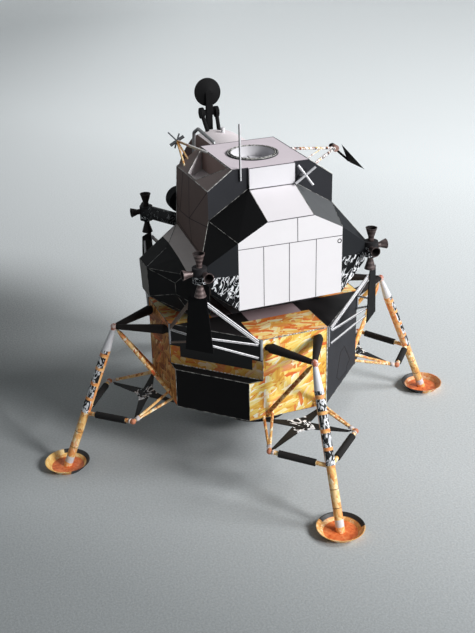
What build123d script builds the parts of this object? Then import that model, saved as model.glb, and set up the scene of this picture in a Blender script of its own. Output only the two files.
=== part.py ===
from build123d import *
import os
from itertools import combinations
from math import acos, cos, radians, sin, sqrt, tan

os.makedirs("parts", exist_ok=True)

# Card model of a two-stage lunar lander at 1:48, in millimetres.
# +X starboard, +Y forward, +Z up, origin on the floor under the middle of the four pads.

# Card, glue and wire
card = 0.4
glue = 0.05
wire_radius = 0.45
fine_wire_radius = 0.3
pin_clearance = 0.05

# Descent stage
gear_face_y = 43.7
bay_half = 15.3
port_aft_upper_half = 13.6
port_aft_lower_half = 19.9
deck_z = 67.0
body_floor_z = 30.5
ledge_z = 48.3

# Descent engine bell
bell_throat_radius = 7.5
bell_mouth_radius = 15.8
bell_mouth_z = 10.5
bell_wall = 0.5

# Landing gear
pad_centre_radius = 89.6
pad_rim_radius = 9.8
pad_base_radius = 7.2
pad_height = 2.8
apex_radius = 63.9
apex_z = 63.5
knee_radius = 63.5
knee_half = 19.4
knee_z = 27.2
junction_z = 24.9
strut_foil_radius = 2.0
strut_gold_radius = 1.8
strut_tip_radius = 0.9
apex_ball_radius = 1.45
strut_cone_length = 11.5
upper_root_half = 11.3
upper_root_z = 63.3
upper_root_radius = 2.1
upper_blunt_radius = 1.5
upper_tip_radius = 1.1
lower_root_half = 11.6
lower_root_z = 32.5
lower_radius = 0.9
sleeve_radius = 1.5
rod_radius = 0.9
knee_ball_radius = 1.2
truss_radius = 0.6
truss_high_half = 9.5
truss_high_z = 32.6
truss_low_half = 13.5
truss_low_z = 30.9
brace_centre_radius = 52.0
brace_hub_half = 4.0
brace_hub_depth = 3.0
brace_arm_root = 2.8
brace_root_half = 14.2
brace_arm_width = 2.1
brace_knee_inset = 2.2

# Exhaust deflectors under the thrusters
deflector_gap = 0.4
deflector_clearance = 0.3
deflector_top_z = 88.5
deflector_bottom_z = 65.0
deflector_top_half = 3.9
deflector_bottom_half = 6.2
deflector_rod_radius = 0.45
deflector_rod_pitch = 1.05
deflector_rod_length = 9.0

# Ascent stage
top_z = 132.3
top_half = 16.8
shoulder_half = 27.3
shoulder_z = 124.8
mid_aft_y = -21.5
mid_fore_y = 15.5
mid_fore_lean = 9.0
mid_knee_z = 80.0
mid_floor_z = 70.0
mid_floor_half = 18.0
well_floor_z = 123.0
skirt_radius = 13.5
spine_half = 9.9
spine_depth = 1.2
spine_floor_z = 123.4
bay_aft_y = -41.3
bay_aft_half = 22.4
bay_floor_z = 80.7
bay_eave_z = 109.2
bay_roof_z = 116.1
bay_shoulder_z = 112.6
cabin_radius = 21.5
cabin_axis_z = 108.5
cabin_floor_z = 82.5
cabin_floor_half = 17.0
cabin_front_y = 46.0
cabin_face_half = 9.5
cabin_cheek_depth = 9.0
window_depth = 0.4
hatch_half = 8.0
hatch_height = 16.0

# Docking tunnel in the roof
tunnel_x = -0.6
tunnel_y = -3.5
tunnel_radius = 9.0
tunnel_depth = 3.8
tunnel_flange_radius = 10.7
tunnel_flange_height = 0.5

# Thruster clusters
# x, y and z of the middle of each
cluster_places = {
    "port_aft": (-37.9, -39.2, 98.1),
    "starboard_aft": (36.6, -39.2, 97.0),
    "starboard_fore": (36.4, 36.2, 98.8),
    "port_fore": (-36.4, 36.2, 98.8),
}
cluster_radius = 2.9
cluster_half_height = 3.2
cone_length = 5.7
cone_mouth_radius = 2.4
side_cone_rise = 0.9
side_cone_inset = 1.4
side_cone_length = 4.0
side_cone_mouth_radius = 2.1
cone_throat_radius = 1.2
cone_neck_share = 0.3
cone_wall = 0.3
fairing_root_z = 88.0
fairing_tip_rise = 1.0
fairing_tip_drop = 2.0
boom_radius = 2.9
boom_z = 99.4
boom_root_x = 24.5
shroud_radius = 5.3
shroud_x = 25.1
shroud_z = 107.9
shroud_front_y = 25.0

# Rendezvous radar
radar_pivot_y = 50.5
radar_pivot_z = 137.0
radar_foot_y = 44.2
radar_foot_half = 2.6
radar_leg_radius = 0.9
drum_radius = 2.5
drum_width = 1.6
drum_offset = 3.5
trunnion_radius = 0.6
dish_radius = 6.3
dish_depth = 1.8
dish_y = 51.6
dish_z = 146.0
dish_nod = 10.0
stem_width = 3.2
stem_thickness = 1.4
weight_width = 2.6
weight_drop = 7.8

# Steerable high-gain antenna
hub_x = 43.0
hub_y = 10.0
hub_z = 126.0
hub_radius = 1.5
hub_pin_radius = 0.5
gain_dish_radius = 7.6
gain_dish_depth = 2.7
gain_dish_out = 9.5
gain_dish_aft = 1.0
gain_dish_down = 5.4
gain_foot_x = 16.5
gain_foot_y = -4.0
gain_brace_share = 0.7
gain_strut_radius = 0.6
strut_sink = 0.3
gain_dish_facing = (0.729, -0.16, 0.661)

# Rod antenna, crossed antennas, handrail and light on the roof
rod_antenna_x = 13.4
rod_antenna_low_z = 127.6
rod_antenna_high_z = 150.5
rail_radius = 0.75
light_x = 2.7
light_y = 40.0
light_height = 2.2
light_radius = 0.9
port_hub = (-23.7, 25.9, 132.8)
starboard_hub = (13.6, -25.0, 127.1)

# Porch and ladder on the forward leg
porch_half = 8.5
porch_z = deck_z - card
porch_front_y = 61.0
ladder_offset = 3.6
ladder_half = 4.5
ladder_end_z = 17.0
rail_height = 9.0
rung_pitch = 4.8
rung_radius = 0.35

legs = (("aft", 270), ("port", 180), ("fore", 90), ("starboard", 0))
# name, sign of x, sign of y, half width of the gear faces that end the bay at deck level
quarters = (
    ("port_aft", -1, -1, port_aft_upper_half),
    ("starboard_aft", 1, -1, bay_half),
    ("starboard_fore", 1, 1, bay_half),
    ("port_fore", -1, 1, bay_half),
)


def save(node, *solids):
    """Write one node, whose solids do not touch each other."""
    shape = solids[0] if len(solids) == 1 else Compound(children=list(solids))
    shape.label = node
    export_step(shape, f"parts/{node}.step")


def along(start, end):
    """Plane at start whose z axis points to end, and the distance between them."""
    start, end = Vector(*start), Vector(*end)
    step = end - start
    return Plane(origin=start, z_dir=step.normalized()), step.length


def turned(start, end, profile):
    """Solid of revolution about the line from start to end, from (distance, radius) rows."""
    plane, _ = along(start, end)
    low, high = profile[0][0], profile[-1][0]
    rim = [(radius, distance) for distance, radius in profile]
    outline = [(0, low)] + rim + [(0, high)]
    face = make_face(Plane.XZ * Polyline(*outline, close=True))
    return plane.location * revolve(face, Axis.Z)


def prism(plane, outline, low, high):
    """Straight prism on an outline drawn in a plane, between two heights above the plane."""
    face = make_face(Polyline(*outline, close=True))
    return plane.location * Pos(0, 0, low) * extrude(face, high - low, dir=(0, 0, 1))


def tube(start, end, radius, gap_start=0.0, gap_end=0.0):
    """Plain rod between two points, short of each by its gap."""
    _, length = along(start, end)
    return turned(start, end, [(gap_start, radius), (length - gap_end, radius)])


def shell_cone(start, end, throat, mouth, wall, neck=0.0):
    """Hollow cone, closed at the throat, straight along its neck and open at the mouth."""
    plane, length = along(start, end)
    outline = [(0, 0), (throat, 0)]
    if neck:
        outline.append((throat, neck))
    outline += [(mouth, length), (mouth - wall, length)]
    if neck:
        outline.append((throat - wall, neck))
    outline += [(throat - wall, wall), (0, wall)]
    face = make_face(Plane.XZ * Polyline(*outline, close=True))
    return plane.location * revolve(face, Axis.Z)


def folded(corners):
    """Closed card box: the convex shape over its corner points."""
    points = [Vector(*corner) for corner in corners]
    middle = sum(points, Vector(0, 0, 0)) * (1 / len(points))
    sides = []
    for a, b, c in combinations(points, 3):
        normal = (b - a).cross(c - a)
        if normal.length < 1e-6:
            continue
        normal = normal.normalized()
        heights = [(p - a).dot(normal) for p in points]
        if max(heights) > 1e-4 and min(heights) < -1e-4:
            continue
        side = frozenset(i for i, height in enumerate(heights) if abs(height) <= 1e-4)
        if side not in [known for known, _ in sides]:
            sides.append((side, normal))
    faces = []
    for side, normal in sides:
        ring = [points[i] for i in side]
        centre = sum(ring, Vector(0, 0, 0)) * (1 / len(ring))
        across = (ring[0] - centre).normalized()
        upward = normal.cross(across)
        ring.sort(key=lambda p: turn_of((p - centre).dot(across), (p - centre).dot(upward)))
        if normal.dot(centre - middle) < 0:
            ring.reverse()
        faces.append(Face(Wire.make_polygon(ring, close=True)))
    return Solid(Shell(faces))


def turn_of(x, y):
    """Angle of a point round the middle of its ring, in radians."""
    angle = acos(max(-1.0, min(1.0, x / sqrt(x * x + y * y))))
    return angle if y >= 0 else -angle


def mirrored(solid):
    """The same piece on the other side of the vehicle."""
    return mirror(solid, Plane.YZ)


# Descent stage body: an octagon whose port aft bay steps out below the ledge
def octagon(port_aft_half):
    y, half = gear_face_y, bay_half
    return [
        (-port_aft_half, -y), (half, -y), (y, -half), (y, half),
        (half, y), (-half, y), (-y, half), (-y, -port_aft_half),
    ]


lower_body = prism(Plane.XY, octagon(port_aft_lower_half), body_floor_z, ledge_z)
upper_body = prism(Plane.XY, octagon(port_aft_upper_half), ledge_z, deck_z)
save("descent_body", lower_body + upper_body)

# Engine bell, open at the bottom
save("descent_engine_bell", shell_cone(
    (0, 0, body_floor_z - glue), (0, 0, bell_mouth_z), bell_throat_radius, bell_mouth_radius, bell_wall,
))

# Landing gear, drawn on +X and turned to each side
apex = (apex_radius, 0, apex_z)
foot = (pad_centre_radius, 0, card)
_, strut_length = along(apex, foot)
strut_reach = pad_centre_radius - apex_radius
strut_fall = apex_z - card
junction = (apex_radius + strut_reach * (apex_z - junction_z) / strut_fall, 0, junction_z)
junction_distance = strut_length * (apex_z - junction_z) / strut_fall

primary_strut = turned(apex, foot, [
    (0, strut_tip_radius), (strut_cone_length, strut_foil_radius),
    (junction_distance, strut_foil_radius), (junction_distance, strut_gold_radius),
    (strut_length + strut_gold_radius, strut_gold_radius),
])
primary_strut += Pos(*apex) * Sphere(apex_ball_radius)
below_pad_floor = Pos(pad_centre_radius, 0, card + glue) * Box(
    20, 20, 20, align=(Align.CENTER, Align.CENTER, Align.MAX),
)
primary_strut -= below_pad_floor
strut_clearance = turned(apex, foot, [
    (-1, strut_foil_radius + glue), (strut_length, strut_foil_radius + glue),
])
ball_clearance = Pos(*apex) * Sphere(apex_ball_radius + glue)

pad_outline = [
    (0, 0), (pad_base_radius, 0), (pad_rim_radius, pad_height),
    (pad_rim_radius - card, pad_height), (pad_base_radius - card / 2, card), (0, card),
]
footpad = Pos(pad_centre_radius, 0, 0) * revolve(
    make_face(Plane.XZ * Polyline(*pad_outline, close=True)), Axis.Z,
)


def upper_strut(side):
    """Black card cone from the top corner of the gear face to the apex."""
    root = (gear_face_y, side * upper_root_half, upper_root_z)
    _, length = along(root, apex)
    cone = turned(root, apex, [
        (-4, upper_blunt_radius), (0.5, upper_blunt_radius), (1.8, upper_root_radius),
        (length - 1, upper_tip_radius),
    ])
    return cone - face_clearance - ball_clearance


def lower_strut(side):
    """Gold tube from the apex down to the gear face, pointed where the struts crowd together."""
    root = (gear_face_y, side * lower_root_half, lower_root_z)
    _, length = along(apex, root)
    rod = turned(apex, root, [(2.4, 0.3), (5.4, lower_radius), (length + 3, lower_radius)])
    return rod - face_clearance - ball_clearance


def secondary_strut(side):
    """Black sleeve on a gold rod, from the knee ball to the primary strut."""
    knee = (knee_radius, side * knee_half, knee_z)
    _, length = along(knee, junction)
    rod = turned(knee, junction, [
        (0, rod_radius), (0.15 * length, rod_radius), (0.15 * length, sleeve_radius),
        (0.76 * length, sleeve_radius), (0.76 * length, rod_radius), (length, rod_radius),
    ])
    return rod + Pos(*knee) * Sphere(knee_ball_radius) - strut_clearance


def deployment_truss(side):
    """Two gold tubes that spread from the knee to the lower edge of the body."""
    knee = (knee_radius, side * knee_half, knee_z)
    high = (gear_face_y, side * truss_high_half, truss_high_z)
    low = (gear_face_y, side * truss_low_half, truss_low_z)
    legs_of_truss = tube(knee, high, truss_radius, 0, -2) + tube(knee, low, truss_radius, 0, -2)
    return legs_of_truss - face_clearance - Pos(*knee) * Sphere(knee_ball_radius + glue)


face_clearance = Pos(gear_face_y + glue, 0, deck_z / 2) * Box(
    20, 60, deck_z + 20, align=(Align.MAX, Align.CENTER, Align.CENTER),
)


def cross_brace():
    """Flat card X from the body's lower corners to the knees."""
    depth = knee_radius - gear_face_y
    hub = brace_centre_radius - gear_face_y
    ends = ((glue, brace_root_half), (depth - knee_ball_radius, knee_half - brace_knee_inset))
    sheet = Pos(hub, 0) * Rectangle(2 * brace_hub_half, 2 * brace_hub_depth)
    for (u, v), side in [(end, side) for end in ends for side in (1, -1)]:
        lean = brace_arm_width / 2
        near = brace_arm_root
        arm = Polyline(
            (hub - near, 0), (u, side * v - lean), (u, side * v + lean), (hub + near, 0), close=True,
        )
        sheet += make_hull(arm.edges())
    plane = Plane(
        origin=(gear_face_y, 0, body_floor_z - card), x_dir=(depth, 0, knee_z - body_floor_z),
        z_dir=(body_floor_z - knee_z, 0, depth),
    )
    return plane * extrude(sheet, -card)


leg_pieces = {
    "primary_strut": [primary_strut],
    "footpad": [footpad],
    "upper_struts": [upper_strut(1), upper_strut(-1)],
    "lower_struts": [lower_strut(1), lower_strut(-1)],
    "secondary_struts": [secondary_strut(1), secondary_strut(-1)],
    "deployment_truss": [deployment_truss(1), deployment_truss(-1)],
    "cross_brace": [cross_brace()],
}
for side_name, angle in legs:
    for piece_name, solids in leg_pieces.items():
        save(f"{side_name}_{piece_name}", *[Rot(0, 0, angle) * solid for solid in solids])

# Exhaust deflectors: a tapered card panel on two three-rod trusses
diagonal = sqrt(2)
cone_reach = cluster_half_height + glue + cone_length
for quarter, sign_x, sign_y, half in quarters:
    cluster_x, cluster_y, cluster_z = cluster_places[quarter]
    deflector_distance = (abs(cluster_x) + abs(cluster_y)) / diagonal + deflector_gap
    panel_top_z = min(deflector_top_z, cluster_z - cone_reach - deflector_clearance)
    corner_distance = (gear_face_y + half) / diagonal + deflector_rod_radius + glue
    corner_half = (gear_face_y - half) / diagonal - deflector_rod_radius
    panel = folded([
        (deflector_distance + depth, side * width, z)
        for depth in (0, card) for side in (-1, 1)
        for width, z in ((deflector_top_half, panel_top_z), (deflector_bottom_half, deflector_bottom_z))
    ])
    rod_top_z = deck_z
    rod_bottom_z = deck_z - deflector_rod_length
    # height on the panel, height on the bay corner's rod, rods side by side
    rows = (
        (panel_top_z - 2, rod_top_z - 0.8, 2), (deflector_bottom_z + 6, rod_top_z - 2.2, 1),
        (deflector_bottom_z + 3, rod_bottom_z + 0.8, 1),
    )
    pieces = [panel]
    for side in (-1, 1):
        pieces.append(tube(
            (corner_distance, side * corner_half, rod_bottom_z),
            (corner_distance, side * corner_half, rod_top_z), deflector_rod_radius,
        ))
        rise = panel_top_z - deflector_bottom_z
        spread = deflector_bottom_half - deflector_top_half
        for panel_z, rod_z, count in rows:
            width = deflector_top_half + spread * (panel_top_z - panel_z) / rise
            start = (deflector_distance - deflector_rod_radius - glue, side * (width - 0.6), panel_z)
            end = (corner_distance + 0.3, side * (corner_half - 0.6), rod_z)
            rod = tube(start, end, deflector_rod_radius, 0.1, 0.7)
            pieces += [Pos(0, 0, -deflector_rod_pitch * index) * rod for index in range(count)]
    turn = {(-1, -1): 225, (1, -1): 315, (1, 1): 45, (-1, 1): 135}[(sign_x, sign_y)]
    save(f"{quarter}_deflector", *[Rot(0, 0, turn) * piece for piece in pieces])

# Ascent stage middle: a card box whose shoulders hold a deep well on each side
mid_profile = [
    (top_half, top_z), (shoulder_half, shoulder_z),
    (shoulder_half, mid_knee_z), (mid_floor_half, mid_floor_z),
]
mid_outline = mid_profile + [(-x, z) for x, z in reversed(mid_profile)]
mid_foot_y = mid_fore_y + (top_z - mid_floor_z) * tan(radians(mid_fore_lean))
fore_normal = Vector(0, cos(radians(mid_fore_lean)), sin(radians(mid_fore_lean)))


def ahead_of_middle(gap):
    """Everything in front of the leaning front face of the middle box."""
    origin = Vector(0, mid_fore_y, top_z) + fore_normal * gap
    plane = Plane(origin=origin, x_dir=(1, 0, 0), z_dir=fore_normal)
    return plane.location * Box(200, 200, 60, align=(Align.CENTER, Align.CENTER, Align.MIN))


def shoulder_height(x):
    """Height of the sloping shoulder at a distance from the middle line."""
    return top_z - (abs(x) - top_half) * (top_z - shoulder_z) / (shoulder_half - top_half)


middle = prism(Plane.XZ, mid_outline, -mid_foot_y, -mid_aft_y) - ahead_of_middle(0)
well = prism(Plane.XY, [
    (-top_half - 0.3, mid_fore_y - 2.5), (-shoulder_half + 0.6, 3.4),
    (-shoulder_half + 0.6, -6.2), (-top_half - 0.3, -18.2),
], well_floor_z, top_z + 1)
tunnel_hole = Pos(tunnel_x, tunnel_y, top_z - tunnel_depth) * Cylinder(
    tunnel_radius + card + glue, 10, align=(Align.CENTER, Align.CENTER, Align.MIN),
)
spine_top = Pos(0, mid_aft_y, spine_floor_z) * Box(
    2 * spine_half, spine_depth, top_z - spine_floor_z, align=(Align.CENTER, Align.MAX, Align.MIN),
)
save("ascent_middle", middle + spine_top - well - mirrored(well) - tunnel_hole)

# Docking tunnel: a short liner with a raised ring
tunnel_outline = [
    (tunnel_radius, top_z - tunnel_depth + glue), (tunnel_radius + card, top_z - tunnel_depth + glue),
    (tunnel_radius + card, top_z + glue), (tunnel_flange_radius, top_z + glue),
    (tunnel_flange_radius, top_z + tunnel_flange_height), (tunnel_radius, top_z + tunnel_flange_height),
]
save("docking_tunnel", Pos(tunnel_x, tunnel_y, 0) * revolve(
    make_face(Plane.XZ * Polyline(*tunnel_outline, close=True)), Axis.Z,
))

# Skirt between the stages
save("stage_skirt", Pos(0, 0, deck_z + glue) * Cylinder(
    skirt_radius, mid_floor_z - deck_z - 2 * glue, align=(Align.CENTER, Align.CENTER, Align.MIN),
))

# Aft equipment bay with its sloping roof
aft_y = mid_aft_y - glue
roof_join_z = spine_floor_z + 0.4
aft_bay = folded([
    (side * x, y, z) for side in (-1, 1) for x, y, z in (
        (bay_aft_half, bay_aft_y, bay_floor_z), (bay_aft_half, bay_aft_y, bay_eave_z),
        (spine_half, bay_aft_y, bay_roof_z), (spine_half, aft_y, roof_join_z),
        (shoulder_half, aft_y, bay_shoulder_z), (shoulder_half, aft_y, bay_floor_z),
    )
])
save("ascent_aft_bay", aft_bay - Pos(0, -glue, -glue) * spine_top)

# Fairings that reach from the aft bay out to the rear thruster clusters
def cluster_clearance(quarter):
    return Pos(*cluster_places[quarter]) * Cylinder(cluster_radius + glue, 2 * cone_reach + 2)


fairings = []
for quarter, side in (("port_aft", -1), ("starboard_aft", 1)):
    tip_x, tip_y, tip_z = cluster_places[quarter]
    near_x = side * (shoulder_half + glue)
    corner_x = side * (bay_aft_half + glue)
    fairings.append(folded([
        (near_x, aft_y, bay_shoulder_z), (corner_x, bay_aft_y, bay_eave_z),
        (corner_x, bay_aft_y, bay_floor_z), (near_x, aft_y, fairing_root_z),
        (tip_x, tip_y, tip_z + fairing_tip_rise), (tip_x, tip_y, tip_z - fairing_tip_drop),
    ]) - cluster_clearance(quarter))
save("thruster_fairings", *fairings)

# Propellant tank covers: the port one stands out further
# x from the wall, y, z of each corner of the port cover
tank_corners = (
    (20.7, 10.0, 88.4), (20.7, -1.0, 88.2), (20.7, -2.0, 75.7), (20.7, 7.8, 75.4),
    (7.7, 16.1, 94.1), (7.8, 7.9, 94.3), (8.2, -5.0, 92.3), (9.0, -16.3, 88.9),
    (12.7, -13.9, 85.0), (12.7, -14.4, 80.2), (12.0, -6.0, 69.6), (6.5, -15.2, 69.5),
    (12.0, 17.0, 72.0), (9.0, 21.0, 84.0),
    (0, -20.0, 91.8), (0, 2.0, 95.0), (0, 20.6, 97.6), (0, -20.0, 71.0), (0, 22.0, 71.0), (0, 22.0, 90.0),
)
for tank_side, sign, stand_out in (("port", -1, 1.0), ("starboard", 1, 0.62)):
    save(f"{tank_side}_tank_cover", folded([
        (sign * (shoulder_half + glue + stand_out * x), y, z) for x, y, z in tank_corners
    ]))

# Crew cabin: a rounded roof over sides that draw in, with canted cheeks at the front
def cabin_shape(grow, front_y):
    """The cabin's cross section run out to a front end, larger all round by a gap."""
    length = front_y - mid_fore_y
    middle_y = front_y - length / 2
    roof = Pos(0, middle_y, cabin_axis_z) * Rot(90, 0, 0) * Cylinder(cabin_radius + grow, length)
    roof &= Pos(0, 0, cabin_axis_z) * Box(100, 200, 100, align=(Align.CENTER, Align.CENTER, Align.MIN))
    lower = prism(Plane.XZ, [
        (cabin_radius + grow, cabin_axis_z), (cabin_floor_half + grow, cabin_floor_z - grow),
        (-cabin_floor_half - grow, cabin_floor_z - grow), (-cabin_radius - grow, cabin_axis_z),
    ], -front_y, -mid_fore_y)
    return roof + lower


cabin = cabin_shape(0, cabin_front_y) & ahead_of_middle(glue)
cheek_run = cabin_radius - cabin_face_half
cheek_slope = cabin_cheek_depth / cheek_run
cheek = prism(Plane.XY, [
    (cabin_face_half, cabin_front_y), (cabin_radius + 5, cabin_front_y - cheek_slope * (cheek_run + 5)),
    (cabin_radius + 5, cabin_front_y + 5), (cabin_face_half, cabin_front_y + 5),
], cabin_axis_z - 30, cabin_axis_z + 30)
cabin = cabin - cheek - mirrored(cheek)
cheek_plane = Plane(
    origin=(cabin_face_half, cabin_front_y, cabin_axis_z), x_dir=(cheek_run, -cabin_cheek_depth, 0),
    z_dir=(cabin_cheek_depth, cheek_run, 0),
)
window = prism(cheek_plane, [(2.5, 9.5), (11.0, 5.5), (4.5, -2.5)], -window_depth, 1)
save("ascent_cabin", cabin - window - mirrored(window))
save("front_hatch", Pos(0, cabin_front_y + glue, cabin_floor_z + 2) * Box(
    2 * hatch_half, card, hatch_height, align=(Align.CENTER, Align.MIN, Align.MIN),
))

# Booms that carry the front thruster clusters, each under a rounded shroud at the wall's corner
cabin_clearance = cabin_shape(glue, cabin_front_y + 20)
boom_end_x, boom_end_y, _ = cluster_places["port_fore"]
boom = tube((-boom_root_x, mid_fore_y, boom_z), (boom_end_x, boom_end_y, boom_z), boom_radius)
boom = boom & ahead_of_middle(glue)
boom = boom - cluster_clearance("port_fore") - cabin_clearance
shroud = tube((-shroud_x, mid_fore_y, shroud_z), (-shroud_x, shroud_front_y, shroud_z), shroud_radius)
shroud = shroud & ahead_of_middle(glue)
shroud = shroud - cabin_clearance
save("thruster_booms", boom, mirrored(boom), shroud, mirrored(shroud))

# Thruster clusters: a drum with four open cones, two of them outward on the level
for quarter, sign_x, sign_y, _ in quarters:
    middle_point = Vector(*cluster_places[quarter])
    lift = Vector(0, 0, side_cone_rise)
    inset = Vector(-sign_x * side_cone_inset, 0, 0)
    pieces = [Pos(*middle_point) * Cylinder(cluster_radius, 2 * cluster_half_height)]
    # direction of the cone, offset of its axis, distance of its throat, length, mouth radius
    for way, offset, start, length, mouth in (
        (Vector(0, 0, 1), Vector(0, 0, 0), cluster_half_height, cone_length, cone_mouth_radius),
        (Vector(0, 0, -1), Vector(0, 0, 0), cluster_half_height, cone_length, cone_mouth_radius),
        (Vector(sign_x, 0, 0), lift, cluster_radius, side_cone_length, side_cone_mouth_radius),
        (Vector(0, sign_y, 0), lift + inset, cluster_radius, side_cone_length, side_cone_mouth_radius),
    ):
        throat = middle_point + offset + way * (start + glue)
        pieces.append(shell_cone(
            tuple(throat), tuple(throat + way * length),
            cone_throat_radius, mouth, cone_wall, cone_neck_share * length,
        ))
    save(f"{quarter}_thrusters", *pieces)

# Rendezvous radar: two legs with drums carry the trunnion of the dish
trunnion_hole = Pos(0, radar_pivot_y, radar_pivot_z) * Rot(0, 90, 0) * Cylinder(
    trunnion_radius + pin_clearance, 20,
)
radar_legs = []
for side in (-1, 1):
    drum_point = (side * drum_offset, radar_pivot_y, radar_pivot_z)
    foot_point = (side * radar_foot_half, radar_foot_y, cabin_axis_z + cabin_radius - 2)
    drum = Pos(*drum_point) * Rot(0, 90, 0) * Cylinder(drum_radius, drum_width)
    leg = tube(foot_point, drum_point, radar_leg_radius)
    radar_legs.append(drum + leg - cabin_clearance - trunnion_hole)
save("radar_mount", *radar_legs)

trunnion_length = 2 * drum_offset + drum_width
trunnion = Pos(0, radar_pivot_y, radar_pivot_z) * Rot(0, 90, 0) * Cylinder(trunnion_radius, trunnion_length)
dish_axis = Vector(0, cos(radians(dish_nod)), -sin(radians(dish_nod)))
dish_mouth = Vector(0, dish_y, dish_z)
dish_back = dish_mouth - dish_axis * dish_depth
dish = shell_cone(tuple(dish_back), tuple(dish_mouth), 1.2, dish_radius, card)
stem = Pos(0, radar_pivot_y - 0.7, radar_pivot_z) * Box(
    stem_width, stem_thickness, dish_z - radar_pivot_z, align=(Align.CENTER, Align.CENTER, Align.MIN),
)
weight = Pos(0, radar_pivot_y, radar_pivot_z) * Box(
    weight_width, weight_width, weight_drop, align=(Align.CENTER, Align.CENTER, Align.MAX),
)
neck = Pos(0, radar_pivot_y, radar_pivot_z) * Box(2 * (drum_offset - drum_width / 2) - 0.4, 2.2, 2.2)
save("radar_dish", trunnion + dish + stem + weight + neck)

# Steerable high-gain antenna on three struts to starboard
hub = (hub_x, hub_y, hub_z)
hub_drum = Pos(hub_x, hub_y - 2, hub_z) * Rot(90, 0, 0) * Cylinder(hub_radius, 2.2)
hub_pin = Pos(hub_x, hub_y + 0.6, hub_z) * Rot(90, 0, 0) * Cylinder(hub_pin_radius, 3.2)
hub_head = Pos(hub_x, hub_y + 1.9, hub_z) * Rot(90, 0, 0) * Cylinder(1.0, 0.6)
mount_drum = hub_drum + hub_pin + hub_head
hub_end = (hub_x, hub_y - 2, hub_z)
main_foot = (gain_foot_x, gain_foot_y, shoulder_height(gain_foot_x) - strut_sink)
brace_end = tuple(near + (far - near) * gain_brace_share for near, far in zip(main_foot, hub_end))
gain_struts = []
# x and y of the foot on the starboard roof, far end, radius
for foot_x, foot_y, far_end, radius in (
    (gain_foot_x, gain_foot_y, hub_end, gain_strut_radius),
    (top_half + 0.1, -18.8, brace_end, fine_wire_radius),
    (19.4, mid_aft_y + 0.5, hub_end, gain_strut_radius),
):
    gain_struts.append(tube((foot_x, foot_y, shoulder_height(foot_x) - strut_sink), far_end, radius))
strut_body = gain_struts[0] + gain_struts[1] + gain_struts[2] + mount_drum
save("high_gain_boom", strut_body - (middle - well - mirrored(well)))

gain_axis = Vector(*gain_dish_facing).normalized()
gain_mouth = Vector(*hub) + Vector(gain_dish_out, -gain_dish_aft, -gain_dish_down)
gain_back = gain_mouth - gain_axis * gain_dish_depth
gain_dish = shell_cone(tuple(gain_back), tuple(gain_mouth), 0.9, gain_dish_radius, card)
gain_rod = tube(hub, tuple(gain_back + gain_axis * 0.2), 0.5)
eye = Pos(hub_x, hub_y + 0.1, hub_z) * Rot(90, 0, 0) * Cylinder(hub_radius, 1.8)
eye_hole = Pos(hub_x, hub_y, hub_z) * Rot(90, 0, 0) * Cylinder(hub_pin_radius + pin_clearance, 12)
save("high_gain_dish", gain_dish + gain_rod + eye - eye_hole)

# Antennas and fittings on the roof
rod_y = mid_aft_y - glue - wire_radius
save("rod_antenna", tube(
    (-rod_antenna_x, rod_y, rod_antenna_low_z), (-rod_antenna_x, rod_y, rod_antenna_high_z), wire_radius,
))


def crossed_arms(centre, *arms):
    """Rods through one centre, each from its half length and its radius."""
    rods = [tube(tuple(Vector(*centre) - Vector(*half)), tuple(Vector(*centre) + Vector(*half)), radius)
            for half, radius in arms]
    return rods[0] + rods[1]


port_antenna = crossed_arms(port_hub, ((3.0, -0.4, 1.8), 0.7), ((-1.3, -0.5, -3.0), 0.35))
# x, y and height above the shoulder of each far end, radius
for end_x, end_y, rise, radius in (
    (-25.5, 11.4, -0.4, 0.45), (-22.8, 14.3, -0.4, 0.4),
    (-top_half - 0.1, 6.0, -strut_sink, 0.55), (-26.9, 28.0, 11.3, fine_wire_radius),
):
    port_antenna += tube(port_hub, (end_x, end_y, shoulder_height(end_x) + rise), radius)
save("port_whip_antenna", port_antenna - middle)

starboard_antenna = crossed_arms(starboard_hub, ((2.25, -2.38, -3.8), 0.5), ((4.05, -0.76, 3.23), 0.5))
starboard_antenna += tube(starboard_hub, (12.8, mid_aft_y + 1, 126.2), wire_radius)
save("starboard_whip_antenna", starboard_antenna - middle - spine_top)

rail_path = FilletPolyline(
    (-14.2, 32.5, 122.0), (-13.8, 32.0, 133.8), (-12.7, 29.5, 135.9),
    (-9.8, mid_fore_y + 2, top_z + 0.2), (-9.7, mid_fore_y + 2.4, top_z - 5),
    radius=1.0,
)
rail = sweep(Plane(rail_path @ 0, z_dir=rail_path % 0) * Circle(rail_radius), rail_path)
save("roof_handrail", rail - cabin_clearance - middle)
light_foot_z = cabin_axis_z + cabin_radius
save("docking_light", tube(
    (light_x, light_y, light_foot_z - 2), (light_x, light_y, light_foot_z + light_height), light_radius,
) - cabin_clearance)

# Porch over the forward leg
porch_plate = Pos(0, gear_face_y + glue, porch_z) * Box(
    2 * porch_half, porch_front_y - gear_face_y, card, align=(Align.CENTER, Align.MIN, Align.MIN),
)
porch = porch_plate
for side in (-1, 1):
    rail_x = side * (porch_half - 0.5)
    rail_points = (
        (rail_x, gear_face_y + 2, porch_z), (rail_x, gear_face_y + 2, porch_z + rail_height),
        (rail_x, porch_front_y - 5, porch_z + rail_height), (rail_x, porch_front_y - 1, porch_z),
    )
    hoop_path = FilletPolyline(*rail_points, radius=1.5)
    porch += sweep(Plane(hoop_path @ 0, z_dir=hoop_path % 0) * Circle(wire_radius), hoop_path)
save("porch", porch)

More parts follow.
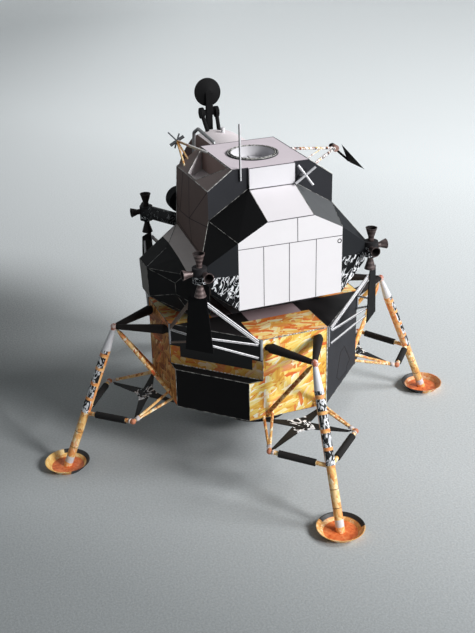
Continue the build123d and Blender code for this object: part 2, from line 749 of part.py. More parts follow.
# Ladder down the forward leg, on three short standoffs
fall = Vector(strut_reach, 0, -strut_fall).normalized()
outward = Vector(strut_fall, 0, strut_reach).normalized()
ladder_top = Vector(*apex) + outward * ladder_offset
ladder_length = (ladder_top.Z - ladder_end_z) / -fall.Z
ladder = None
for side in (-1, 1):
    shift = Vector(0, side * ladder_half, 0)
    rail_top = ladder_top + shift
    rail = tube(tuple(rail_top), tuple(rail_top + fall * ladder_length), rung_radius + 0.05)
    ladder = rail if ladder is None else ladder + rail
rung_count = int(ladder_length / rung_pitch)
for index in range(rung_count):
    middle_point = ladder_top + fall * (rung_pitch * (index + 0.6))
    ladder += Pos(*middle_point) * Rot(90, 0, 0) * Cylinder(rung_radius, 2 * ladder_half)
    if index % 4 == 1:
        ladder += tube(tuple(middle_point), tuple(middle_point - outward * ladder_offset), 0.5)
save("ladder", Rot(0, 0, 90) * (ladder - strut_clearance))
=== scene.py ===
"""Looks of the card model of a lunar lander: camera, light, card, foil prints and printed lines."""

import math

import bmesh
import bpy
from mathutils import Matrix, Vector


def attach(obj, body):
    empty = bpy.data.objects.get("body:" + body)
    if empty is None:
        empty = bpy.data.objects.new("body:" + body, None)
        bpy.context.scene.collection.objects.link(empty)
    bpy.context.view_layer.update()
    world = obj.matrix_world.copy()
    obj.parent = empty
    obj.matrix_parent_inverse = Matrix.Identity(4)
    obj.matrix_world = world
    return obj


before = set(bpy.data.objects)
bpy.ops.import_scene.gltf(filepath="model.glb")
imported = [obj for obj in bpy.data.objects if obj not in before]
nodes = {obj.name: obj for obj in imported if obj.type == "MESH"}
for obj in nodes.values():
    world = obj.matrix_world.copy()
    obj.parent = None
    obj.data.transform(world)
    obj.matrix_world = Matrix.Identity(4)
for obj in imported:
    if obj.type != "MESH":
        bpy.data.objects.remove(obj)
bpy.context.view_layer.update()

MM = 0.001
# a face looks along an axis when the part of its direction on that axis is over FACING, and
# leans that way when it is over LEANING
FACING = 0.9
LEANING = 0.5


# Colours are written as they look on the card, 0 to 255
def colour(red, green, blue):
    def linear(part):
        part /= 255
        return part / 12.92 if part <= 0.04045 else ((part + 0.055) / 1.055) ** 2.4

    return (linear(red), linear(green), linear(blue), 1.0)


def scaled(shade, factor):
    return tuple(min(1.0, part * factor) for part in shade[:3]) + (1.0,)


class Paint:
    """A procedural material, built call by call: each call adds a node and returns its output.
    Lengths in it are in millimetres of the model's own frame."""

    def __init__(self, name, turn=0):
        self.material = bpy.data.materials.new(name)
        self.material.use_nodes = True
        self.tree = self.material.node_tree
        self.tree.nodes.clear()
        place = self.node("TexCoord", {}, "Object")
        self.point = self.vector("SCALE", place, scale=1 / MM)
        if turn:
            self.point = self.node("VectorRotate", {
                "Vector": self.point, "Axis": (0, 0, 1), "Angle": math.radians(-turn),
            })
        self.x, self.y, self.z = (self.node("SeparateXYZ", {0: self.point}, axis) for axis in "XYZ")

    def node(self, kind, inputs, output=0, **settings):
        made = self.tree.nodes.new("ShaderNode" + kind)
        for key, value in settings.items():
            setattr(made, key, value)
        for key, value in inputs.items():
            if isinstance(value, bpy.types.NodeSocket):
                self.tree.links.new(value, made.inputs[key])
            else:
                made.inputs[key].default_value = value
        return made.outputs[output] if made.outputs else None

    def vector(self, operation, a, b=None, scale=None):
        output = "Value" if operation in ("DOT_PRODUCT", "DISTANCE") else "Vector"
        inputs = {0: a, 1: b, "Scale": scale}
        inputs = {key: value for key, value in inputs.items() if value is not None}
        return self.node("VectorMath", inputs, output, operation=operation)

    def dot(self, a, b):
        return self.vector("DOT_PRODUCT", a, b)

    def math(self, operation, a, b=0.0, clamp=False):
        return self.node("Math", {0: a, 1: b}, operation=operation, use_clamp=clamp)

    def plus(self, a, b):
        return self.math("ADD", a, b)

    def minus(self, a, b):
        return self.math("SUBTRACT", a, b)

    def times(self, a, b):
        return self.math("MULTIPLY", a, b)

    def size(self, a):
        return self.math("ABSOLUTE", a)

    def above(self, value, level, soft=0.1):
        """1 where value is over level, 0 under it, over a soft width."""
        return self.node("MapRange", {
            "Value": value, "From Min": level - soft / 2, "From Max": level + soft / 2,
        })

    def below(self, value, level, soft=0.1):
        return self.minus(1.0, self.above(value, level, soft))

    def fade(self, value, low, high, start, end, kind="SMOOTHSTEP"):
        """From start, where value is low or less, to end, where it is high or more."""
        return self.node("MapRange", {
            "Value": value, "From Min": low, "From Max": high, "To Min": start, "To Max": end,
        }, interpolation_type=kind)

    def mix(self, factor, a, b, blend="MIX"):
        return self.node("Mix", {0: factor, 6: a, 7: b}, 2, data_type="RGBA", blend_type=blend)

    def mix_numbers(self, factor, a, b):
        return self.node("Mix", {0: factor, 2: a, 3: b}, 0, data_type="FLOAT")

    def channel(self, shade, index):
        return self.node("SeparateColor", {0: shade}, index)

    def ramp(self, value, stops, interpolation="LINEAR"):
        """Each stop is its place on the ramp and its colour."""
        output = self.node("ValToRGB", {0: value}, "Color")
        made = output.node.color_ramp
        made.interpolation = interpolation
        while len(made.elements) < len(stops):
            made.elements.new(1.0)
        for element, (place, *shade) in zip(made.elements, stops):
            element.position = place
            element.color = colour(*shade)
        return output

    def noise(self, size, detail=2.0, distortion=0.0):
        """Noise whose blotches are about size millimetres across."""
        return self.noise_on(self.point, 1 / size, detail, distortion)

    def noise_on(self, place, scale, detail, distortion=0.0, output="Fac"):
        return self.node("TexNoise", {
            "Vector": place, "Scale": scale, "Detail": detail, "Distortion": distortion,
        }, output)

    def stretched(self, along, across, length, width):
        """Coordinates whose unit is length millimetres along one direction and width across it."""
        along = Vector(along).normalized()
        across = (Vector(across) - along * along.dot(Vector(across))).normalized()
        units = (along / length, across / width, along.cross(across) / width)
        return self.node("CombineXYZ", {
            axis: self.dot(self.point, tuple(unit)) for axis, unit in zip("XYZ", units)
        })

    def finish(self, base, roughness, specular=0.5, bump=None, height=0.0, metallic=0.0):
        self.surface = self.node("BsdfPrincipled", {
            "Base Color": base, "Roughness": roughness, "Metallic": metallic,
            "Specular IOR Level": specular,
        })
        if bump is not None:
            normal = self.node("Bump", {"Height": bump, "Distance": height * MM, "Strength": 1.0})
            self.tree.links.new(normal, self.surface.node.inputs["Normal"])
        self.node("OutputMaterial", {"Surface": self.surface})
        return self.material


# Card: a flat printed colour with the mottle and fibre of uncoated paper
def card(name, base, mottle=0.06, roughness=0.7, specular=0.15):
    paint = Paint(name)
    patches = paint.noise(9.0, 3.0)
    fibres = paint.noise(0.5, 4.0)
    base = colour(*base)
    dark, pale = scaled(base, 1 - mottle * 1.6), scaled(base, 1 + mottle)
    weight = paint.plus(paint.times(patches, 0.7), paint.times(fibres, 0.3))
    return paint.finish(paint.mix(weight, dark, pale), roughness, specular, fibres, 0.03)


# Foil print: crumpled gold foil as printed on card
FOIL_BRIGHT = (
    (0.00, 204, 128, 50), (0.14, 228, 160, 66), (0.32, 242, 192, 84), (0.50, 247, 210, 104),
    (0.68, 251, 228, 134), (0.84, 254, 242, 186), (1.00, 255, 252, 238),
)
FOIL_DEEP = (
    (0.00, 214, 104, 50), (0.20, 238, 142, 70), (0.42, 248, 182, 98), (0.62, 253, 214, 128),
    (0.80, 255, 236, 178), (1.00, 255, 250, 228),
)
# a darker brown foil palette, which stands for gold foil in painted shade
FOIL_BROWN = (
    (0.00, 88, 42, 18), (0.30, 146, 84, 38), (0.60, 184, 122, 58), (0.85, 214, 164, 96),
    (1.00, 236, 208, 156),
)
FOIL_PALE = (
    (0.00, 150, 84, 46), (0.20, 204, 136, 78), (0.42, 234, 182, 112), (0.64, 246, 210, 146),
    (0.85, 252, 230, 182), (1.00, 255, 248, 226),
)
FLAME = colour(226, 88, 38)
FLAME_PALE = colour(250, 186, 112)
# each layer of shards: its lean in degrees, its size, the random value over which it covers
SHARD_LAYERS = ((0, 1.0, 0.0), (40, 1.15, 0.52), (-34, 0.8, 0.62))
SHARD_WARP = 0.9


def foil_shade(paint, stops, along, across, length=7.0, width=2.0, red=0.84, lift=0.17):
    """Sharp shards laid over one another in three directions, each of one tone with fine streaks
    along it; those whose random value is over red are flame orange."""
    along, across = Vector(along), Vector(across)
    normal = along.cross(across)
    tone = rare = None
    for lean, size, cover in SHARD_LAYERS:
        spin = Matrix.Rotation(math.radians(lean), 3, normal)
        shards = paint.stretched(spin @ along, spin @ across, length * size, width * size)
        warp = paint.noise_on(shards, 0.7, 1.0, output="Color")
        warp = paint.vector("SUBTRACT", warp, (0.5, 0.5, 0.5))
        bent = paint.vector("ADD", shards, paint.vector("SCALE", warp, scale=SHARD_WARP))
        cell = paint.node("TexVoronoi", {"Vector": bent, "Scale": 1.0}, "Color")
        from_middle = paint.vector("SUBTRACT", bent, cell.node.outputs["Position"])
        slope = paint.dot(from_middle, (0.3, 1.0, 0.3))
        streak = paint.noise_on(paint.vector("MULTIPLY", bent, (0.8, 3.2, 3.2)), 1.0, 3.0)
        grain = paint.minus(streak, 0.5)
        shade = paint.plus(paint.times(paint.channel(cell, 0), 0.78), paint.times(slope, 0.26))
        shade = paint.plus(shade, paint.times(grain, 0.75))
        chance = paint.plus(paint.channel(cell, 1), paint.times(grain, 0.55))
        if tone is None:
            tone, rare = shade, chance
        else:
            over = paint.above(paint.channel(cell, 2), cover, 0.02)
            tone = paint.mix_numbers(over, tone, shade)
            rare = paint.mix_numbers(over, rare, chance)
    tone = paint.plus(tone, lift)
    hot = paint.times(paint.above(rare, red, 0.14), 0.85)
    flame = paint.mix(paint.math("MULTIPLY", tone, 0.5, clamp=True), FLAME, FLAME_PALE)
    return paint.mix(hot, paint.ramp(tone, stops), flame), tone


def foil(name, stops, along, across, *sizes):
    paint = Paint(name)
    shade, tone = foil_shade(paint, stops, along, across, *sizes)
    return paint.finish(shade, 0.5, 0.25, tone, 0.03)


# Crinkled silver foil printed on card: pale wandering strokes on black
SILVER = (
    (0.00, 15, 16, 18), (0.50, 20, 21, 24), (0.57, 84, 88, 94), (0.66, 226, 229, 233),
    (0.90, 246, 247, 249), (1.00, 190, 194, 200),
)
STROKE_BANDS = 9.0


def crinkle_shade(paint, along, across, length, width, cover=0.0):
    strokes = paint.stretched(along, across, length, width)
    field = paint.noise_on(strokes, 0.5, 2.2, 0.8)
    gaps = paint.noise_on(strokes, 0.75, 3.0)
    bands = paint.math("PINGPONG", paint.times(field, STROKE_BANDS), 1.0)
    weight = paint.plus(bands, paint.times(paint.minus(gaps, 0.5 - cover), 1.5))
    return paint.ramp(weight, SILVER), weight


def boom_paint():
    paint = Paint("boom_print")
    shade, tone = crinkle_shade(paint, (1, 1, 1.6), (-1, -1, 1), 2.4, 1.0, -0.2)
    # the print mixed 70% towards black: its dark print, deepened as painted shade
    shade = paint.mix(0.7, shade, colour(20, 20, 22))
    return paint.finish(shade, 0.55, 0.2, tone, 0.02)


def worn(name, low, high, size=2.2):
    """A rubbed card edge, patchy between two greys."""
    paint = Paint(name)
    stops = ((0.38, low, low, low), (0.60, high, high, high - 4))
    shade = paint.ramp(paint.noise(size, 4.0), stops)
    return paint.finish(shade, 0.7, 0.2)


WHITE = card("white_card", (231, 229, 232), 0.03)
ROOF = card("roof_card", (220, 210, 217), 0.05)
CABIN = card("cabin_card", (226, 218, 221), 0.05)
# wall card: a taupe print, darkened below the same print on the cabin front as painted shade
WALL_PAINTED_SHADE = card("wall_painted_shade_card", (116, 99, 95), 0.10)
SHOULDER = card("shoulder_card", (152, 138, 136), 0.08)
SLOPE = card("slope_card", (222, 219, 223), 0.03)
# the black slope card made grey as painted light, for the starboard slope
SLOPE_PAINTED_LIGHT = card("painted_light_slope_card", (86, 88, 90), 0.12)
SLATE = card("slate_card", (50, 51, 55), 0.12, 0.7, 0.1)
BLACK = card("black_card", (20, 20, 21), 0.16, 0.7, 0.08)
SLEEVE = card("sleeve_card", (42, 41, 41), 0.18, 0.85, 0.1)
TANK_CARD = card("tank_card", (38, 38, 39), 0.16, 0.7, 0.1)
UPPER = card("upper_strut_card", (34, 30, 29), 0.2)
FACET = card("facet_card", (132, 130, 127), 0.10)
WELL = card("well_card", (224, 218, 221), 0.08)
# the well card darkened as painted shade, for the well's sideways walls
WELL_PAINTED_SHADE = card("well_painted_shade_card", (176, 152, 146), 0.08)
SPINE = card("spine_card", (222, 221, 225), 0.03)
TUNNEL = card("tunnel_card", (204, 203, 207), 0.03)
# dark brown card as painted shade, for the cabin's faces turned to port
CABIN_PAINTED_SHADE = card("cabin_painted_shade_card", (84, 68, 65), 0.10)
FRONT = card("cabin_front_card", (158, 146, 144), 0.08)
GLASS = card("window_card", (16, 18, 24), 0.2, 0.2, 0.5)
INK = card("ink_line", (70, 68, 74), 0.05)
INK_DARK = card("dark_ink_line", (34, 32, 34), 0.05)
COLLAR = card("collar_card", (206, 198, 198), 0.12)
HUB = card("hub_card", (176, 142, 132), 0.6)
# dark cone card as painted shade, for the port fore cones
CONE_PAINTED_SHADE = card("painted_shade_cone_card", (40, 34, 34), 0.25, 0.6)
TIP = card("tip_card", (218, 219, 222), 0.06)
CONE_DARK = card("cone_inside_card", (26, 21, 21), 0.2)
KNEE = card("knee_card", (206, 134, 104), 0.3)
ROD_LINE = card("rod_line_card", (112, 112, 118), 0.15)
ROD_PAINTED_SHADE = card("painted_shade_rod_card", (124, 110, 102), 0.2)
PALE_EDGE = worn("pale_edge", 120, 226)
GREY_EDGE = worn("grey_edge", 44, 160)
RING = worn("ring_foil", 30, 190, 0.8)
BOOM = boom_paint()
GOLD_AFT = foil(
    "gold_face_print", FOIL_BRIGHT, (1, 0.2, 1.15), (-1, 0, 1), 7.6, 2.0, 0.83, 0.18,
)
# gold foil in painted shade, for the port face of the descent stage
GOLD_PAINTED_SHADE = foil("gold_painted_shade_print", FOIL_BROWN, (0, 1, -1.2), (0, 1, 1), 8.0, 2.2, 0.90)
TUBE = (1, 1, 1.5), (-1, -1, 2)
GOLD_TUBE = foil("gold_tube_print", FOIL_PALE, *TUBE, 4.4, 1.4, 0.92)
GOLD_DEEP_TUBE = foil("deep_tube_print", FOIL_PALE, *TUBE, 5.0, 1.5, 0.84)
# brown foil tube as painted shade, for the aft leg's lower struts
BROWN_TUBE = foil("brown_tube_print", FOIL_BROWN, *TUBE, 4.0, 1.5, 0.95)
PRINT_BLACK = colour(24, 22, 22)


def wire(name, base, metallic=0.6, roughness=0.32):
    paint = Paint(name)
    scuff = paint.noise(1.4, 4.0)
    base = colour(*base)
    shade = paint.mix(scuff, scaled(base, 0.72), base)
    return paint.finish(shade, roughness, 0.5, scuff, 0.02, metallic)


WIRE = wire("wire_metal", (150, 150, 152))
ROD_SILVER = wire("silver_rod", (170, 174, 180), 0.35, 0.4)
ROD_BRIGHT = wire("bright_rod", (226, 226, 230), 0.2, 0.35)
ROD_DARK = wire("dark_rod", (76, 78, 82), 0.3, 0.5)


def folded_strip():
    """White folded card strip, streaked with pale grey."""
    paint = Paint("rod_card")
    streak = paint.noise(0.9, 3.0)
    stops = ((0.22, 176, 176, 180), (0.40, 228, 228, 231), (0.70, 247, 247, 249))
    shade = paint.ramp(streak, stops)
    return paint.finish(shade, 0.5, 0.5, streak, 0.02)


def spotted_strip():
    """White strip printed with black, red and yellow scraps of foil pattern."""
    paint = Paint("gain_strut_print")
    spots = paint.noise(1.3, 3.0, distortion=0.8)
    stops = ((0.46, 22, 21, 22), (0.54, 140, 54, 36), (0.64, 206, 184, 84))
    warm = paint.ramp(paint.noise(4.0, 2.0), stops)
    lit = paint.above(spots, 0.49, 0.04)
    return paint.finish(paint.mix(lit, warm, colour(236, 232, 230)), 0.5)


def cone_paint(name, dim):
    """Brown grey card wound into a cone: rings round it, and a rubbed surface that shines; dim
    mixes it towards black as painted shade.
    """
    paint = Paint(name)
    winding = paint.plus(paint.times(paint.z, 1.15), paint.noise(2.0, 2.0))
    rings = paint.math("PINGPONG", winding, 1.0)
    weight = paint.plus(paint.times(rings, 0.45), paint.times(paint.noise(1.4, 4.0), 0.6))
    shade = paint.ramp(weight, (
        (0.25, 60, 49, 48), (0.50, 88, 74, 73), (0.72, 120, 104, 102), (0.90, 186, 174, 170),
    ))
    return paint.finish(paint.mix(dim, shade, colour(34, 24, 21)), 0.42, 0.4, rings, 0.03, 0.25)


def silver_below(name, level, soft, dark, specular, *strokes):
    """Dark card above a level, crinkled silver print below it."""
    paint = Paint(name)
    silver, _ = crinkle_shade(paint, *strokes)
    low = paint.below(paint.z, level, soft)
    return paint.finish(paint.mix(low, colour(*dark), silver), 0.7, specular)


ROD_WHITE = folded_strip()
GAIN_PRINT = spotted_strip()
CONE = cone_paint("cone_print", 0.0)
# cone print darkened as painted shade, for the starboard aft cones
CONE_PAINTED_DIM = cone_paint("painted_shade_cone_print", 0.45)
DRUM = silver_below(
    "drum_print", 98.0, 0.1, (40, 39, 41), 0.15, (1, 1, 0.4), (0, 0, 1), 2.0, 1.1, -0.12,
)
FAIRING = silver_below(
    "fairing_print", 96.0, 0.2, (35, 37, 40), 0.12, (0.6, 0.3, 1.1), (-1, 0, 0.6), 3.2, 1.05, -0.08,
)


# Dressing the solids
def dress(name, look, turn=0):
    """Give each face of a node a material: the one given, or the one that a rule finds from the
    face's outward direction and middle in millimetres, turned back by an angle."""
    mesh = nodes[name].data
    mesh.materials.clear()
    back = Matrix.Rotation(math.radians(-turn), 3, "Z")
    used = []
    for face in mesh.polygons:
        material = look
        if callable(look):
            material = look(back @ face.normal, back @ (face.center / MM))
        if material not in used:
            used.append(material)
            mesh.materials.append(material)
        face.material_index = used.index(material)


# Ascent stage: heights and distances between which its faces lie
ROOF_LEVEL, TUNNEL_LEVEL, WELL_LEVEL, FLOOR_LEVEL = 132, 128, 120, 80
SPINE_Y = -22
SIDE_WALL_X, WELL_OUTER_X, WELL_INNER_X, MIDDLE_HALF = 27, 20, 16, 12
SKIRT_LEVEL = 81
TANK_WALL_X = 35.3
RING_CENTRE = Vector((-0.6, -3.5))
RING_BORE = 9.3


def middle_rule(normal, at):
    out = abs(at.x)
    if normal.z > FACING:
        if at.z > ROOF_LEVEL:
            return ROOF
        return TUNNEL if at.z > TUNNEL_LEVEL else WELL
    if normal.z > LEANING:
        return SHOULDER
    if at.z < FLOOR_LEVEL and normal.z < -LEANING:
        return WALL_PAINTED_SHADE
    if at.y < SPINE_Y:
        return SPINE if normal.y < -FACING else BLACK
    if normal.y < -FACING:
        return SLATE
    # the side walls take the wall card, whose darkness is partly painted shade
    if abs(normal.x) > FACING and out > SIDE_WALL_X:
        return WALL_PAINTED_SHADE
    # the well's walls that face sideways get painted shade
    if out > WELL_INNER_X and at.z > WELL_LEVEL:
        return WELL_PAINTED_SHADE if abs(normal.x) > FACING and out < WELL_OUTER_X else WELL
    return WALL_PAINTED_SHADE if out > MIDDLE_HALF else WHITE


def bay_rule(normal, at):
    if normal.z > LEANING and abs(normal.x) < 0.1:
        return SLOPE
    if abs(normal.y) > FACING or normal.z > FACING:
        return WHITE
    # starboard slope: black card made grey as painted light
    if normal.z > LEANING and at.x > 0:
        return SLOPE_PAINTED_LIGHT
    return BLACK if normal.z > LEANING or at.z < SKIRT_LEVEL else SLATE


def tank_top():
    """Tank cover roof: taupe card made near white as painted light beside the wall, black card
    outside it.
    """
    paint = Paint("tank_roof_print")
    outer = paint.above(paint.size(paint.x), TANK_WALL_X)
    mottle = paint.noise(3.0, 3.0)
    taupe = paint.mix(mottle, colour(228, 220, 219), colour(243, 236, 235))
    black = paint.mix(mottle, colour(44, 44, 45), colour(56, 56, 57))
    return paint.finish(paint.mix(outer, taupe, black), 0.7, 0.1)


TANK_TOP = tank_top()


def tank_rule(normal, at):
    if abs(normal.x) > 0.95:
        return FACET
    return TANK_TOP if normal.z > 0.4 else TANK_CARD


def tunnel_rule(normal, at):
    inside = (at.xy - RING_CENTRE).length < RING_BORE
    return TUNNEL if inside and abs(normal.z) < LEANING else SLATE


CHEEK = Vector((9.5, 46.0, 108.5))
CHEEK_NORMAL = Vector((9.0, 12, 0)).normalized()
WINDOW_DEPTH = 0.2


def cabin_rule(normal, at):
    """Front card with dark triangular windows sunk in its cheeks, paler card on the roof, and
    painted shade on the faces turned to port.
    """
    if normal.y > 0.3:
        depth = (Vector((abs(at.x), at.y, at.z)) - CHEEK).dot(CHEEK_NORMAL)
        return GLASS if depth < -WINDOW_DEPTH and abs(normal.x) > 0.2 else FRONT
    return CABIN if normal.x > -0.36 else CABIN_PAINTED_SHADE


BOOM_TOP = 102.5
HUB_X = 41
ROD_LIT_SIDE = Vector((0.93, -0.36, 0))

dress("ascent_middle", middle_rule)
dress("ascent_aft_bay", bay_rule)
dress("port_tank_cover", tank_rule)
dress("starboard_tank_cover", tank_rule)
dress("docking_tunnel", tunnel_rule)
dress("ascent_cabin", cabin_rule)
for name in ("stage_skirt", "radar_mount", "radar_dish", "high_gain_dish", "descent_engine_bell"):
    dress(name, BLACK)
for name in ("roof_handrail", "porch", "ladder"):
    dress(name, WIRE)
dress("front_hatch", CABIN)
dress("thruster_booms", lambda normal, at: BLACK if at.z > BOOM_TOP else BOOM)
dress("high_gain_boom", lambda normal, at: HUB if at.x > HUB_X else GAIN_PRINT)
# the rod antenna is a folded strip, white on the side towards ROD_LIT_SIDE and painted shade on the
# other
dress("rod_antenna", lambda normal, at: (
    ROD_BRIGHT if normal.dot(ROD_LIT_SIDE) > -0.1 else ROD_DARK
))
dress("starboard_whip_antenna", ROD_BRIGHT)
dress("docking_light", TIP)

PORT_HUB = Vector((-23.7, 25.9, 132.8))
HUB_RADIUS = 3.9


def port_whip_rule(normal, at):
    """Crossed antenna on a gold tripod whose longest leg ends in white card."""
    if (at - PORT_HUB).length > HUB_RADIUS and at.z > 133:
        return ROD_BRIGHT
    if at.x > -20.4:
        return TIP
    if at.y < 23.5 or at.z < 129.5:
        return GOLD_TUBE if at.x > -22.2 else GOLD_DEEP_TUBE
    return ROD_DARK


dress("port_whip_antenna", port_whip_rule)
dress("thruster_fairings", lambda normal, at: BLACK if normal.z > LEANING and at.x < 0 else FAIRING)

# each quarter: its turn about the vertical in degrees from starboard, the middle of its drum, the
# card of its cones, which is darkened as painted shade at starboard aft and port fore, and the side
# of each deflector rod that has a line down it
QUARTERS = (
    ("port_aft", 225, (-37.9, -39.2, 98.1), CONE, (-0.33, -0.84, 0.43)),
    ("starboard_aft", 315, (36.6, -39.2, 97.0), CONE_PAINTED_DIM, (0.7, -0.7, 0.3)),
    ("starboard_fore", 45, (36.4, 36.2, 98.8), CONE, (0.7, 0.7, 0.3)),
    ("port_fore", 135, (-36.4, 36.2, 98.8), CONE_PAINTED_SHADE, (-0.7, 0.7, 0.3)),
)
DRUM_HALF = 3.23
DRUM_RADIUS = 2.97
CONE_RISE = 0.9
CONE_INSET = 1.4


def thruster_rule(centre, outside):
    """Cones, dark within, on a drum; a side cone's own axis lies off the drum's middle."""
    lifted = Vector((0, 0, CONE_RISE))
    inset = Vector((-CONE_INSET if centre[0] > 0 else CONE_INSET, 0, 0))

    def rule(normal, at):
        away = at - Vector(centre)
        level = Vector((away.x, away.y, 0))
        if abs(away.z) > DRUM_HALF:
            inward = normal.dot(level)
        elif level.length < DRUM_RADIUS:
            return DRUM
        elif abs(away.x) > abs(away.y + 0.001):
            inward = normal.dot(away - lifted - Vector((away.x, 0, 0)))
        else:
            inward = normal.dot(away - lifted - inset - Vector((0, away.y, 0)))
        return CONE_DARK if inward < -0.02 else outside
    return rule


for quarter, _, centre, cones, _ in QUARTERS:
    dress(f"{quarter}_thrusters", thruster_rule(centre, cones))


# Descent stage: an octagon whose bay faces are BAY_Y from the middle
BAY_Y = 43.7
BAY_CORNER_X, PORT_CORNER_X = 15.3, -13.6
DECK_Z, LEDGE_Z, FOOT_Z = 67.0, 48.5, 30.6
BAY_TOP_IN, BAY_TOP_HALF = 25.0, 15.6


def deck_paint():
    """Deck: orange foil print on the four bay tops, plum card inside them, black card on the
    diagonals."""
    paint = Paint("deck_print")
    gold, _ = foil_shade(paint, FOIL_DEEP, (1, 0.35, 0), (0, 1, 0), 7.0, 2.0, 0.60, 0.26)
    gold = paint.mix(1.0, gold, colour(255, 246, 218), "MULTIPLY")
    across, forward = paint.size(paint.x), paint.size(paint.y)
    ends = paint.times(paint.above(forward, BAY_TOP_IN), paint.below(across, BAY_TOP_HALF))
    sides = paint.times(paint.above(across, BAY_TOP_IN), paint.below(forward, BAY_TOP_HALF))
    bays = paint.math("MAXIMUM", ends, sides)
    corner = paint.times(paint.above(across, 12.0), paint.above(forward, 15.5))
    square = paint.below(paint.math("MAXIMUM", across, forward), BAY_TOP_IN)
    middle = paint.times(square, paint.minus(1.0, corner))
    base = paint.mix(middle, colour(30, 27, 28), colour(176, 154, 158))
    return paint.finish(paint.mix(bays, base, gold), 0.6, 0.3)


def panel_paint():
    """Port aft bay: black panel with a gold U of trim round its sides and foot."""
    paint = Paint("port_aft_panel_print")
    gold, _ = foil_shade(paint, FOIL_BRIGHT, (1, -1, 0.3), (0, 0, 1), 5.0, 2.4, 0.76)
    gold = paint.mix(0.62, gold, colour(150, 96, 40), "MULTIPLY")
    across = paint.size(paint.minus(paint.x, paint.y))
    foot = paint.below(paint.z, 52.3)
    sides = paint.times(paint.above(across, 23.4), paint.below(paint.z, 57.0))
    trim = paint.math("MAXIMUM", foot, sides)
    return paint.finish(paint.mix(trim, colour(20, 20, 21), gold), 0.6, 0.3)


DECK_PRINT = deck_paint()
PANEL_PRINT = panel_paint()


def body_rule(normal, at):
    if normal.z > FACING:
        return BLACK if at.z < 60 else DECK_PRINT
    if normal.z < -FACING:
        return BLACK
    if abs(normal.y) > FACING or normal.x > FACING:
        return GOLD_AFT
    # the port face: gold foil in painted shade
    if normal.x < -FACING:
        return GOLD_PAINTED_SHADE
    if normal.x < -LEANING and normal.y < -LEANING:
        return PANEL_PRINT if at.z > LEDGE_Z else BLACK
    # the starboard aft diagonal: black card made slate as painted light
    return SLATE if normal.x > LEANING and normal.y < -LEANING else BLACK


dress("descent_body", body_rule)

# Landing gear, in the frame of the starboard leg. Each leg: its turn about the vertical, how far
# round the strut the seam of its print is, the way that the middle of its pad's black arc faces
# and how far out the arc starts, and the colour of the pad's wall, paler on the port leg as
# painted light and darker on the starboard leg as painted shade. Angles are in degrees.
LEGS = (
    ("aft", 270, 25, (144, 2.7), (236, 176, 98)), ("port", 180, -12, (177, 0.0), (244, 206, 116)),
    ("fore", 90, 0, (180, 0.0), (236, 176, 98)), ("starboard", 0, 20, (154, 0.0), (210, 128, 80)),
)
APEX = Vector((63.9, 0, 63.5))
PAD_X = 89.6
FOOT = Vector((PAD_X, 0, 0.4))
STRUT = (FOOT - APEX).normalized()
KNEE_POINT = Vector((63.5, 19.4, 27.2))
JUNCTION = Vector((79.62, 0, 24.9))
TRUSS_HIGH = Vector((BAY_Y, 9.5, 32.6))
TRUSS_LOW = Vector((BAY_Y, 13.5, 30.9))
BRACE_X = 52.0
BAND_SCALE = (FOOT - APEX).length + 2
# distance down the strut at which each band starts
BANDS = (
    (0, "white"), (10.75, "foil"), (12.56, "orange"), (14.21, "foil"), (19.05, "orange"),
    (20.46, "foil"), (26.23, "orange"), (27.85, "foil"), (33.44, "orange"), (35.06, "foil"),
    (40.91, "gold"), (50.6, "ring"), (50.9, "gold"), (58.1, "ring"), (58.4, "gold"),
    (63.2, "white"), (66.1, "orange"),
)
BAND_MASKS = {
    "white": (255, 0, 0), "foil": (0, 255, 0), "gold": (0, 0, 255), "orange": (0, 0, 0),
    "ring": (255, 0, 255),
}


def strut_paint(side, turn, seam):
    """Primary strut: white tip, foil blocks between orange rings, then plain gold with thin
    rings."""
    paint = Paint(f"{side}_strut_print", turn)
    from_apex = paint.vector("SUBTRACT", paint.point, tuple(APEX))
    down = paint.dot(from_apex, tuple(STRUT))
    outward = paint.dot(from_apex, (-STRUT.z, 0, STRUT.x))
    stops = [(start / BAND_SCALE, *BAND_MASKS[kind]) for start, kind in BANDS]
    zones = paint.ramp(paint.math("DIVIDE", down, BAND_SCALE), stops, "CONSTANT")
    white, printed, plain = (paint.channel(zones, index) for index in range(3))
    seam = math.radians(seam)
    facing = paint.plus(paint.times(outward, math.cos(seam)), paint.times(paint.y, math.sin(seam)))
    block = paint.above(facing, -0.75, 0.15)
    silver, _ = crinkle_shade(paint, STRUT, (0, 1, 0), 2.6, 1.2)
    gold, _ = foil_shade(paint, FOIL_PALE, STRUT, (0, 1, 0), 5.0, 1.5, 0.86)
    gold = paint.mix(0.30, gold, colour(232, 176, 96))
    ring, _ = foil_shade(paint, FOIL_DEEP, (0, 1, 0), STRUT, 2.0, 1.4)
    ring = paint.mix(0.5, ring, colour(228, 140, 86))
    shade = paint.mix(printed, ring, paint.mix(block, ring, silver))
    shade = paint.mix(plain, shade, gold)
    shade = paint.mix(white, shade, colour(214, 215, 219))
    shade = paint.mix(paint.times(white, plain), shade, colour(112, 76, 44))
    spots = paint.above(paint.noise(1.2, 3.0), 0.5, 0.1)
    joint = paint.mix(spots, colour(222, 200, 194), colour(176, 100, 76))
    shade = paint.mix(paint.below(down, 1.5, 0.3), shade, joint)
    return paint.finish(shade, 0.5, 0.35)


def pad_floor():
    paint = Paint("pad_floor_print")
    crumple = paint.noise(1.6, 5.0, distortion=0.6)
    shade = paint.ramp(crumple, (
        (0.25, 186, 78, 34), (0.45, 222, 112, 58), (0.62, 234, 134, 78), (0.78, 248, 186, 132),
    ))
    return paint.finish(shade, 0.4, 0.5, crumple, 0.12)


PAD_BAND_Z = 1.6
PAD_RIM_Z = 2


